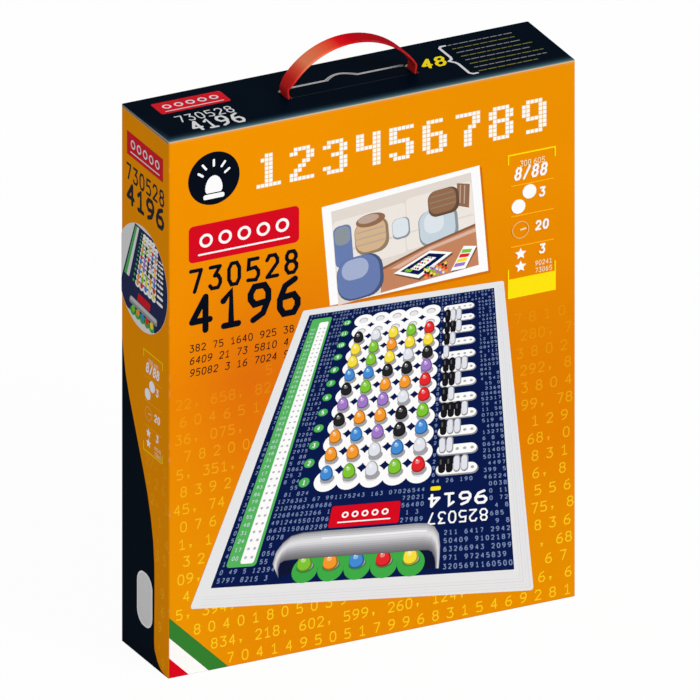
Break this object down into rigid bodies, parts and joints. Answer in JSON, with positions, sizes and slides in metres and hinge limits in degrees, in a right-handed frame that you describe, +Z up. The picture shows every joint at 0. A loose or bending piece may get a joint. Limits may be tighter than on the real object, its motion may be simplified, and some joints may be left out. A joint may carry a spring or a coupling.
{
  "type": "boxed code breaking peg game",
  "caption": "Boxed code breaking peg game: upright carton with a hinged lid and an arched strap handle, holding a pegboard with hood, pegs and pins.",
  "frame": {"origin": "centre of the carton's base, on the surface it stands on", "axes": "+Z up, the carton's front faces -Y, +X to the right seen from the front"},
  "size_m": [0.2664, 0.0624, 0.3743],
  "materials": {
    "orange_card": "satin",
    "navy_card": "satin",
    "grey_card": "matte",
    "red_plastic": "satin",
    "white_plastic": "satin",
    "board_card": "satin",
    "green_plastic": "satin",
    "silver_plastic": "satin",
    "leaflet_paper": "matte",
    "orange_peg": "gloss",
    "red_peg": "gloss",
    "yellow_peg": "gloss",
    "black_peg": "gloss",
    "purple_peg": "gloss",
    "green_peg": "gloss",
    "blue_peg": "gloss",
    "white_peg": "gloss"
  },
  "bodies": {
    "carton": {"carton_sleeve": "orange_card", "bottom_outer_flap": "navy_card", "bottom_inner_flap": "grey_card", "bottom_dust_flap_left": "grey_card", "bottom_dust_flap_right": "grey_card"},
    "lid": {"lid_panel": "navy_card", "lid_ear_left": "grey_card", "lid_ear_right": "grey_card"},
    "tuck_flap": {"lid_tuck_flap": "navy_card"},
    "finger_tab": {"lid_finger_tab": "navy_card"},
    "handle": {"handle_strap": "red_plastic"},
    "board": {"board_base": "white_plastic", "board_card": "board_card", "guess_lattice": "white_plastic", "code_lattice": "green_plastic", "rules_leaflet": "leaflet_paper"},
    "hood": {"hood": "silver_plastic"},
    "code_peg_1": {"code_peg_1": "orange_peg"},
    "code_peg_2": {"code_peg_2": "red_peg"},
    "code_peg_3": {"code_peg_3": "yellow_peg"},
    "code_peg_4": {"code_peg_4": "black_peg"},
    "code_peg_5": {"code_peg_5": "purple_peg"},
    "guess_peg_1_1": {"guess_peg_1_1": "black_peg"},
    "guess_peg_1_2": {"guess_peg_1_2": "blue_peg"},
    "guess_peg_1_3": {"guess_peg_1_3": "red_peg"},
    "guess_peg_1_4": {"guess_peg_1_4": "green_peg"},
    "guess_peg_1_5": {"guess_peg_1_5": "white_peg"},
    "guess_peg_2_1": {"guess_peg_2_1": "purple_peg"},
    "guess_peg_2_2": {"guess_peg_2_2": "white_peg"},
    "guess_peg_2_3": {"guess_peg_2_3": "black_peg"},
    "guess_peg_2_4": {"guess_peg_2_4": "yellow_peg"},
    "guess_peg_2_5": {"guess_peg_2_5": "orange_peg"},
    "guess_peg_3_1": {"guess_peg_3_1": "yellow_peg"},
    "guess_peg_3_2": {"guess_peg_3_2": "purple_peg"},
    "guess_peg_3_3": {"guess_peg_3_3": "orange_peg"},
    "guess_peg_3_4": {"guess_peg_3_4": "blue_peg"},
    "guess_peg_3_5": {"guess_peg_3_5": "black_peg"},
    "key_pin_1_1": {"key_pin_1_1": "black_peg"},
    "key_pin_1_2": {"key_pin_1_2": "white_peg"},
    "key_pin_2_1": {"key_pin_2_1": "black_peg"},
    "key_pin_2_2": {"key_pin_2_2": "white_peg"},
    "key_pin_3_1": {"key_pin_3_1": "black_peg"},
    "key_pin_3_2": {"key_pin_3_2": "white_peg"},
    "counter_pin": {"counter_pin": "black_peg"}
  },
  "joints": [
    {"name": "lid_open", "type": "hinge", "parent": "carton", "child": "lid", "pos_m": [0, -0.03125, 0.3435], "axis": [1, 0, 0], "range_deg": [0, 180]},
    {"name": "lid_tuck_fold", "type": "hinge", "parent": "lid", "child": "tuck_flap", "pos_m": [0, 0.02655, 0.3432], "axis": [1, 0, 0], "range_deg": [-80, 0]},
    {"name": "finger_tab_fold", "type": "hinge", "parent": "lid", "child": "finger_tab", "pos_m": [0, -0.006, 0.3435], "axis": [1, 0, 0], "range_deg": [-75, 0]},
    {"name": "handle_lean", "type": "hinge", "parent": "lid", "child": "handle", "pos_m": [0, 0, 0.34425], "axis": [1, 0, 0], "range_deg": [-35, 35], "stiffness_Nm_per_rad": 0.02},
    {"name": "board_rise", "type": "slide", "parent": "carton", "child": "board", "axis": [0, 0, 1], "range_m": [0, 0.19]},
    {"name": "hood_lift", "type": "slide", "parent": "board", "child": "hood", "axis": [0, -1, 0], "range_m": [0, 0.01]},
    {"name": "peg_code_1", "type": "slide", "parent": "board", "child": "code_peg_1", "axis": [0, -1, 0], "range_m": [0, 0.01]},
    {"name": "peg_code_2", "type": "slide", "parent": "board", "child": "code_peg_2", "axis": [0, -1, 0], "range_m": [0, 0.01]},
    {"name": "peg_code_3", "type": "slide", "parent": "board", "child": "code_peg_3", "axis": [0, -1, 0], "range_m": [0, 0.01]},
    {"name": "peg_code_4", "type": "slide", "parent": "board", "child": "code_peg_4", "axis": [0, -1, 0], "range_m": [0, 0.01]},
    {"name": "peg_code_5", "type": "slide", "parent": "board", "child": "code_peg_5", "axis": [0, -1, 0], "range_m": [0, 0.01]},
    {"name": "peg_guess_1_1", "type": "slide", "parent": "board", "child": "guess_peg_1_1", "axis": [0, -1, 0], "range_m": [0, 0.01]},
    {"name": "peg_guess_1_2", "type": "slide", "parent": "board", "child": "guess_peg_1_2", "axis": [0, -1, 0], "range_m": [0, 0.01]},
    {"name": "peg_guess_1_3", "type": "slide", "parent": "board", "child": "guess_peg_1_3", "axis": [0, -1, 0], "range_m": [0, 0.01]},
    {"name": "peg_guess_1_4", "type": "slide", "parent": "board", "child": "guess_peg_1_4", "axis": [0, -1, 0], "range_m": [0, 0.01]},
    {"name": "peg_guess_1_5", "type": "slide", "parent": "board", "child": "guess_peg_1_5", "axis": [0, -1, 0], "range_m": [0, 0.01]},
    {"name": "peg_guess_2_1", "type": "slide", "parent": "board", "child": "guess_peg_2_1", "axis": [0, -1, 0], "range_m": [0, 0.01]},
    {"name": "peg_guess_2_2", "type": "slide", "parent": "board", "child": "guess_peg_2_2", "axis": [0, -1, 0], "range_m": [0, 0.01]},
    {"name": "peg_guess_2_3", "type": "slide", "parent": "board", "child": "guess_peg_2_3", "axis": [0, -1, 0], "range_m": [0, 0.01]},
    {"name": "peg_guess_2_4", "type": "slide", "parent": "board", "child": "guess_peg_2_4", "axis": [0, -1, 0], "range_m": [0, 0.01]},
    {"name": "peg_guess_2_5", "type": "slide", "parent": "board", "child": "guess_peg_2_5", "axis": [0, -1, 0], "range_m": [0, 0.01]},
    {"name": "peg_guess_3_1", "type": "slide", "parent": "board", "child": "guess_peg_3_1", "axis": [0, -1, 0], "range_m": [0, 0.01]},
    {"name": "peg_guess_3_2", "type": "slide", "parent": "board", "child": "guess_peg_3_2", "axis": [0, -1, 0], "range_m": [0, 0.01]},
    {"name": "peg_guess_3_3", "type": "slide", "parent": "board", "child": "guess_peg_3_3", "axis": [0, -1, 0], "range_m": [0, 0.01]},
    {"name": "peg_guess_3_4", "type": "slide", "parent": "board", "child": "guess_peg_3_4", "axis": [0, -1, 0], "range_m": [0, 0.01]},
    {"name": "peg_guess_3_5", "type": "slide", "parent": "board", "child": "guess_peg_3_5", "axis": [0, -1, 0], "range_m": [0, 0.01]},
    {"name": "pin_key_1_1", "type": "slide", "parent": "board", "child": "key_pin_1_1", "axis": [0, -1, 0], "range_m": [0, 0.007]},
    {"name": "pin_key_1_2", "type": "slide", "parent": "board", "child": "key_pin_1_2", "axis": [0, -1, 0], "range_m": [0, 0.007]},
    {"name": "pin_key_2_1", "type": "slide", "parent": "board", "child": "key_pin_2_1", "axis": [0, -1, 0], "range_m": [0, 0.007]},
    {"name": "pin_key_2_2", "type": "slide", "parent": "board", "child": "key_pin_2_2", "axis": [0, -1, 0], "range_m": [0, 0.007]},
    {"name": "pin_key_3_1", "type": "slide", "parent": "board", "child": "key_pin_3_1", "axis": [0, -1, 0], "range_m": [0, 0.007]},
    {"name": "pin_key_3_2", "type": "slide", "parent": "board", "child": "key_pin_3_2", "axis": [0, -1, 0], "range_m": [0, 0.007]},
    {"name": "pin_counter", "type": "slide", "parent": "board", "child": "counter_pin", "axis": [0, -1, 0], "range_m": [0, 0.007]}
  ],
  "couplings": [
    {"joint": "lid_open", "follows": "board_rise", "rad_per_m": 16.5}
  ]
}
